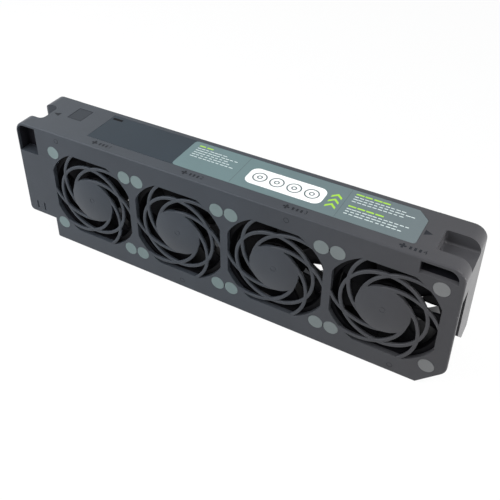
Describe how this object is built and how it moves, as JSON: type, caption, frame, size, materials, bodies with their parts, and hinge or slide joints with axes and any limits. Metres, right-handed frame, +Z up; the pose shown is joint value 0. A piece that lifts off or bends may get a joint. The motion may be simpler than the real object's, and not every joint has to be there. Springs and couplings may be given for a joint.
{
  "type": "fan module",
  "caption": "Hot-swap fan module: a row of axial fans behind swirl guards in one long moulded case with grips and a guide rail at its ends.",
  "frame": {"origin": "middle of the case's outline, on the plane that it stands on", "axes": "+X along the case to the guide-rail end, +Y from the grilles to the outlets, +Z up"},
  "size_m": [0.4324, 0.0596, 0.128],
  "materials": {
    "housing_plastic": "fine moulded texture, dark grey",
    "dark_film": "smooth dark film",
    "label_film": "printed grey-green film",
    "board": "solder-masked board",
    "connector_plastic": "black moulded",
    "header_plastic": "ivory moulded",
    "isolator_rubber": "matte grey elastomer",
    "fan_plastic": "black moulded",
    "yoke_steel": "deep-drawn steel",
    "magnet": "bonded ferrite",
    "shaft_steel": "ground steel",
    "bearing_steel": "ground steel",
    "lamination_steel": "stacked laminations",
    "copper": "enamelled copper wire"
  },
  "bodies": {
    "housing": {"front_panel": "housing_plastic", "top_cover": "housing_plastic", "base_tray": "housing_plastic", "rear_cover": "housing_plastic", "left_end": "housing_plastic", "right_end": "housing_plastic", "blank_label": "dark_film", "instruction_label": "label_film", "connector_board": "board", "blind_connector": "connector_plastic", "fan_headers": "header_plastic", "fan_guard_1": "housing_plastic", "isolators_1": "isolator_rubber", "fan_frame_1": "fan_plastic", "bearings_1": "bearing_steel", "stator_core_1": "lamination_steel", "windings_1": "copper", "motor_board_1": "board", "fan_guard_2": "housing_plastic", "isolators_2": "isolator_rubber", "fan_frame_2": "fan_plastic", "bearings_2": "bearing_steel", "stator_core_2": "lamination_steel", "windings_2": "copper", "motor_board_2": "board", "fan_guard_3": "housing_plastic", "isolators_3": "isolator_rubber", "fan_frame_3": "fan_plastic", "bearings_3": "bearing_steel", "stator_core_3": "lamination_steel", "windings_3": "copper", "motor_board_3": "board", "fan_guard_4": "housing_plastic", "isolators_4": "isolator_rubber", "fan_frame_4": "fan_plastic", "bearings_4": "bearing_steel", "stator_core_4": "lamination_steel", "windings_4": "copper", "motor_board_4": "board"},
    "rotor_1": {"impeller_1": "fan_plastic", "rotor_yoke_1": "yoke_steel", "magnet_ring_1": "magnet", "shaft_1": "shaft_steel"},
    "rotor_2": {"impeller_2": "fan_plastic", "rotor_yoke_2": "yoke_steel", "magnet_ring_2": "magnet", "shaft_2": "shaft_steel"},
    "rotor_3": {"impeller_3": "fan_plastic", "rotor_yoke_3": "yoke_steel", "magnet_ring_3": "magnet", "shaft_3": "shaft_steel"},
    "rotor_4": {"impeller_4": "fan_plastic", "rotor_yoke_4": "yoke_steel", "magnet_ring_4": "magnet", "shaft_4": "shaft_steel"}
  },
  "joints": [
    {"name": "fan_1_spin", "type": "hinge", "parent": "housing", "child": "rotor_1", "pos_m": [-0.1309, 0, 0.064], "axis": [0, -1, 0], "continuous": true},
    {"name": "fan_2_spin", "type": "hinge", "parent": "housing", "child": "rotor_2", "pos_m": [-0.0343, 0, 0.064], "axis": [0, -1, 0], "continuous": true},
    {"name": "fan_3_spin", "type": "hinge", "parent": "housing", "child": "rotor_3", "pos_m": [0.0623, 0, 0.064], "axis": [0, -1, 0], "continuous": true},
    {"name": "fan_4_spin", "type": "hinge", "parent": "housing", "child": "rotor_4", "pos_m": [0.1589, 0, 0.064], "axis": [0, -1, 0], "continuous": true}
  ]
}
